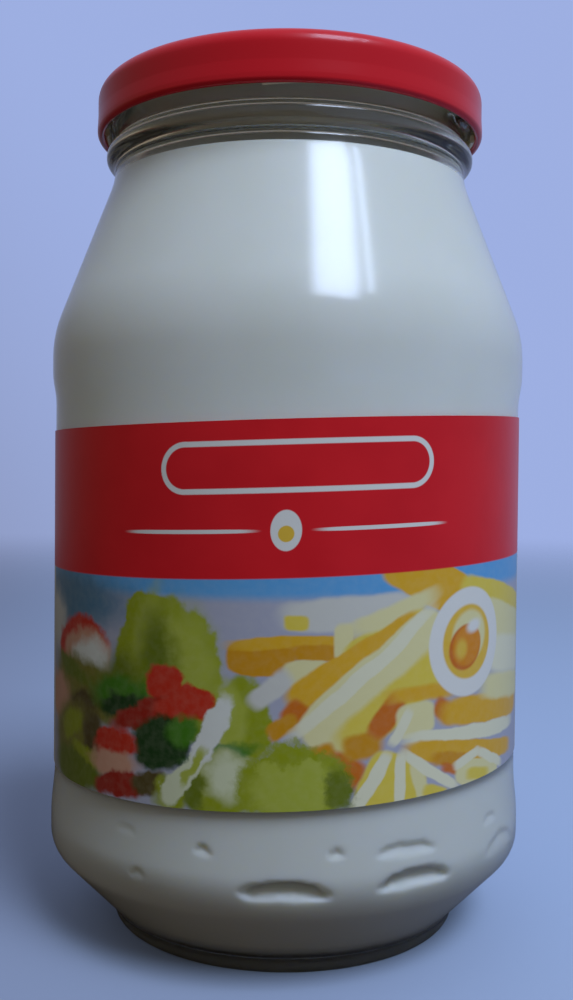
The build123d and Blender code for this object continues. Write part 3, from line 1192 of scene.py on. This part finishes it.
# %% The camera
CAMERA_DISTANCE = 0.2005
CAMERA_HEIGHT = 0.0786
CAMERA_PITCH = radians(1.344)
CAMERA_ROLL = radians(0.526)
CAMERA_LENS = 39.46
lens = bpy.data.cameras.new("camera")
lens.lens = CAMERA_LENS
lens.clip_start = 0.01
camera = link("camera", lens)
look = Matrix.Rotation(pi / 2 - CAMERA_PITCH, 4, "X") @ Matrix.Rotation(CAMERA_ROLL, 4, "Z")
camera.matrix_world = Matrix.Translation((0, -CAMERA_DISTANCE, CAMERA_HEIGHT)) @ look
bpy.context.scene.camera = camera
print(f"camera: {CAMERA_DISTANCE * 1000:.0f} mm away, lens {CAMERA_LENS} mm")

# %% The window lamps
LAMP_DISTANCE = 1.2
CORE_SHARE = 0.6
LAMP_COLOUR = (0.62, 0.74, 1.0)
AIM = Vector((0, 0, 0.11))


def window(name, side, height, width, tall, lean, brightness, edge):
    """A pane of light that faces the jar: side, height and lean are angles in degrees.

    A second, fainter pane is larger by the edge, which softens the highlight's outline.
    """
    side, height = radians(side), radians(height)
    towards = Vector((sin(side) * cos(height), -cos(side) * cos(height), sin(height)))
    facing = (-towards).to_track_quat("-Z", "Y").to_matrix()
    facing = facing @ Matrix.Rotation(radians(lean), 3, "Z")
    for part, growth, share in (("core", 0, CORE_SHARE), ("edge", edge, 1 - CORE_SHARE)):
        light = bpy.data.lights.new(f"{name}_{part}", "AREA")
        light.shape = "RECTANGLE"
        light.size = width + growth
        light.size_y = tall + growth
        light.energy = share * brightness * pi * width * tall
        light.color = LAMP_COLOUR
        pane = link(light.name, light)
        pane.location = AIM + towards * LAMP_DISTANCE
        pane.rotation_euler = facing.to_euler()
        print(f"{pane.name}: {light.size:.3f} x {light.size_y:.3f} m, {light.energy:.1f} W")


window("window_main", 32, 54.5, 0.335, 0.56, -22, 20.0, 0.09)
window("window_side", 54.5, 52, 0.045, 0.46, -34, 18.0, 0.03)

# %% The sky
world = bpy.data.worlds.new("sky")
bpy.context.scene.world = world
world.use_nodes = True
tree = world.node_tree
tree.nodes.clear()
direction = Flow.add(tree, "ShaderNodeTexCoord", "Generated")
x, y, z = axis_parts(tree, direction)
# Painted shade: the backdrop that the camera sees darkens towards the lower left.
backdrop_painted_shade = mixed(smooth(x * 1.5 + z, -1.1, 0.1), (0.20, 0.22, 0.32), (0.34, 0.43, 0.76))
# Painted shade: what the glass shows through itself is darker and warmer on the left.
through = mixed(smooth(x, 0.1, 0.6), (0.33, 0.275, 0.20), (0.33, 0.37, 0.48))
sides = mixed(smooth(x, -0.9, 0.9), (0.13, 0.105, 0.055), (0.22, 0.26, 0.37))
sky = mixed(smooth(z, 0.0, 1.0), sides, (0.34, 0.39, 0.50))
sky = mixed(smooth(y, -1.0, -0.2), (0.15, 0.14, 0.13), sky)
sky = mixed(smooth(y, 0.1, 0.9, 0.0, 0.6), sky, backdrop_painted_shade)
path = Flow.add(tree, "ShaderNodeLightPath")
sky = mixed(path, sky, backdrop_painted_shade)
sky = mixed(path.other("Is Transmission Ray"), sky, through)
background = Flow.add(tree, "ShaderNodeBackground", Color=sky, Strength=1.0)
Flow.add(tree, "ShaderNodeOutputWorld", Surface=background)
bpy.context.scene.view_settings.view_transform = "Standard"
print("sky:", len(tree.nodes), "nodes")
